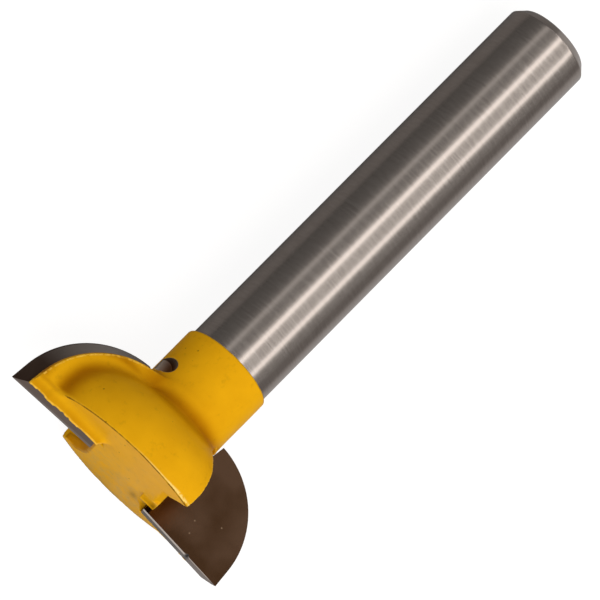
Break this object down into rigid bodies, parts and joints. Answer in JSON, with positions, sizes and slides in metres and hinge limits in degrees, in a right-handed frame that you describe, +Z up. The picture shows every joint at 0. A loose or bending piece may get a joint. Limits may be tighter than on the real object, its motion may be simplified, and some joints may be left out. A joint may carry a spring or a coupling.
{
  "type": "finger grip router bit",
  "caption": "Carbide-tipped router bit with a round-nosed relieved head, curved cutting edges and a plain round shank.",
  "frame": {"origin": "on the bench under the middle of the lying tool's box", "axes": "+X from the cutting end to the shank's end, +Z up from the bench, as the tool lies at rest"},
  "size_m": [0.0432, 0.019, 0.0117],
  "materials": {
    "painted_steel": "glossy golden-yellow paint on the head and collar, bare ground steel on the shank",
    "carbide": "ground tungsten carbide, dark and nearly mirror-flat on the rake face"
  },
  "bodies": {
    "root": {"cutter_body": "painted_steel", "carbide_tip_right": "carbide", "carbide_tip_left": "carbide"}
  },
  "joints": []
}
